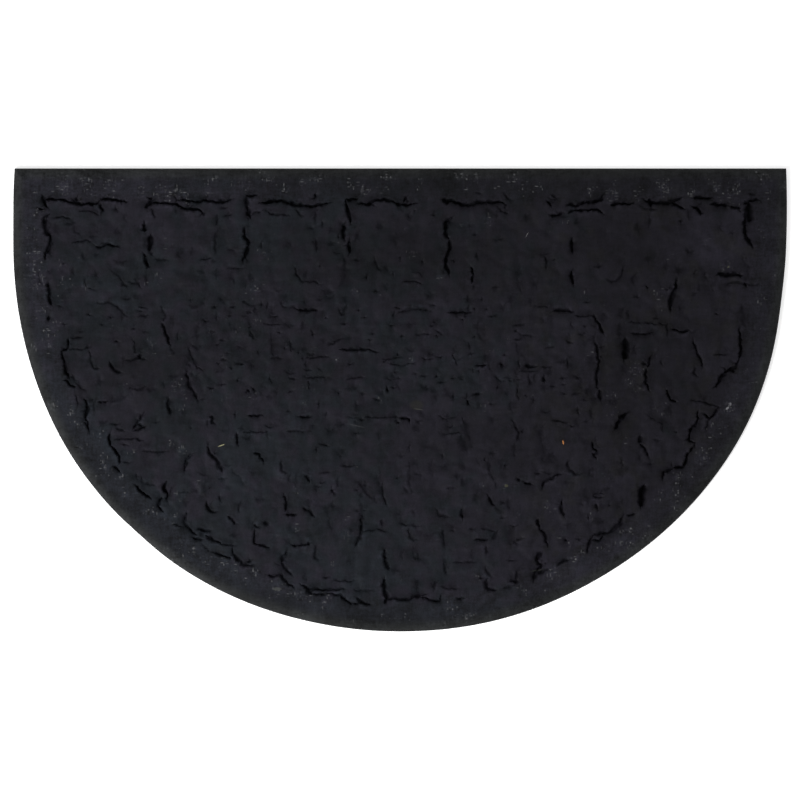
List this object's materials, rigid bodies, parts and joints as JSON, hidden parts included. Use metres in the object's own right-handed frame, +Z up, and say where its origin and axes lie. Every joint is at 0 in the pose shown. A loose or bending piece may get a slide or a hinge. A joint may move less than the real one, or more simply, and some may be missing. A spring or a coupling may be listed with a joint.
{
  "type": "half-round rubber doormat",
  "caption": "Half-round doormat pressed from black rubber crumb, flat, with a rounded rim, a smooth border band and a field with torn splits.",
  "frame": {"origin": "under the middle of the mat's plan box, on the surface that it lies on", "axes": "+X along the straight edge, +Y towards the straight edge, +Z up out of the upper face"},
  "size_m": [0.7495, 0.4488, 0.008],
  "materials": {
    "crumb_rubber": "matte charcoal rubber crumb, pressed smooth on the border band, slightly lumpy and split in the field, with pale grey specks"
  },
  "bodies": {
    "root": {"mat": "crumb_rubber"}
  },
  "joints": []
}
